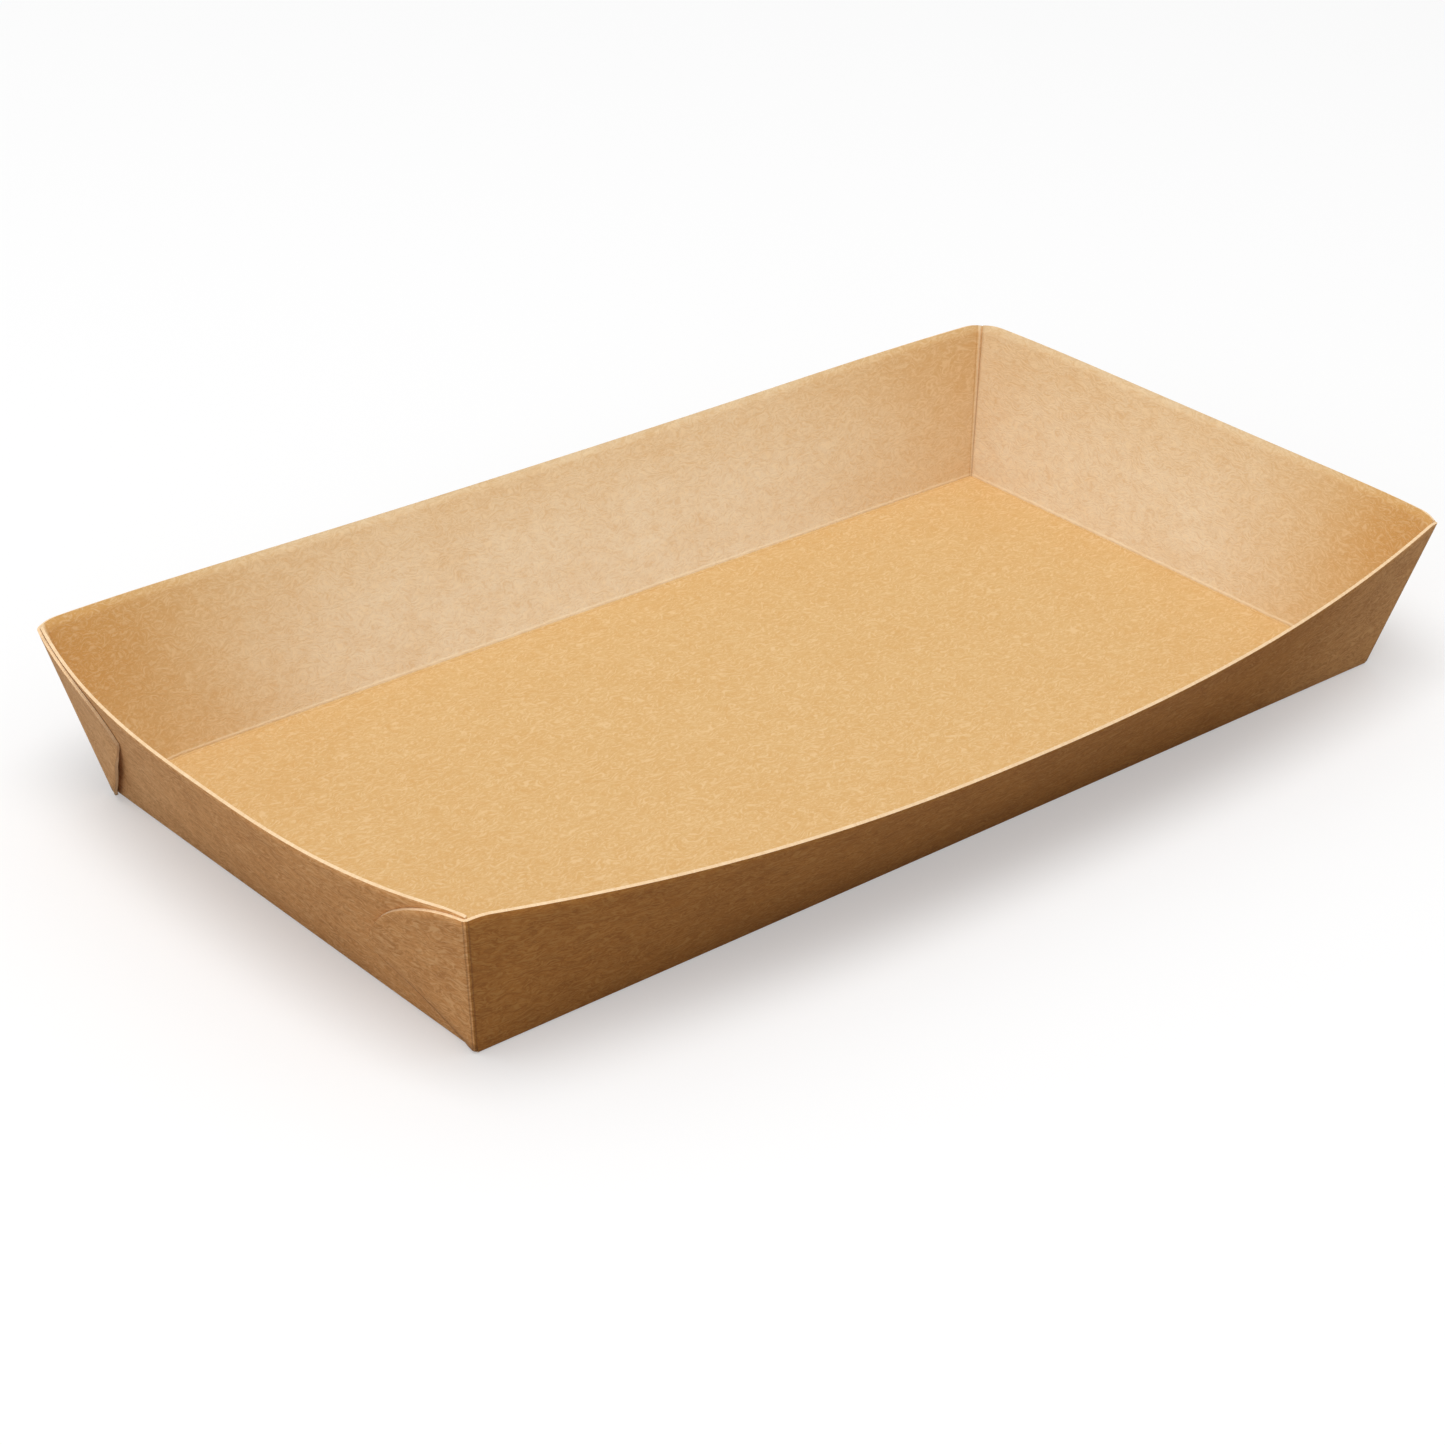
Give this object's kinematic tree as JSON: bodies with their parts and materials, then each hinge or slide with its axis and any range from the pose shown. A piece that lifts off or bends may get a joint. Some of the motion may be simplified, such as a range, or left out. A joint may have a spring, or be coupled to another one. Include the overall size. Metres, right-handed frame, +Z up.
{
  "type": "paper food tray",
  "caption": "Shallow rectangular food tray folded from one sheet of brown kraft board, with flared, bowed walls and glued corner tabs.",
  "frame": {"origin": "under the middle of the base, on the face that the tray rests on", "axes": "+X along the tray's length, +Y across it towards the wall with the pointed tabs, +Z up towards the open top"},
  "size_m": [0.225, 0.1324, 0.0289],
  "materials": {
    "kraft_board": "matt brown kraft paperboard with short curled fibres and pale cut edges"
  },
  "bodies": {
    "root": {"folded_tray": "kraft_board"}
  },
  "joints": []
}
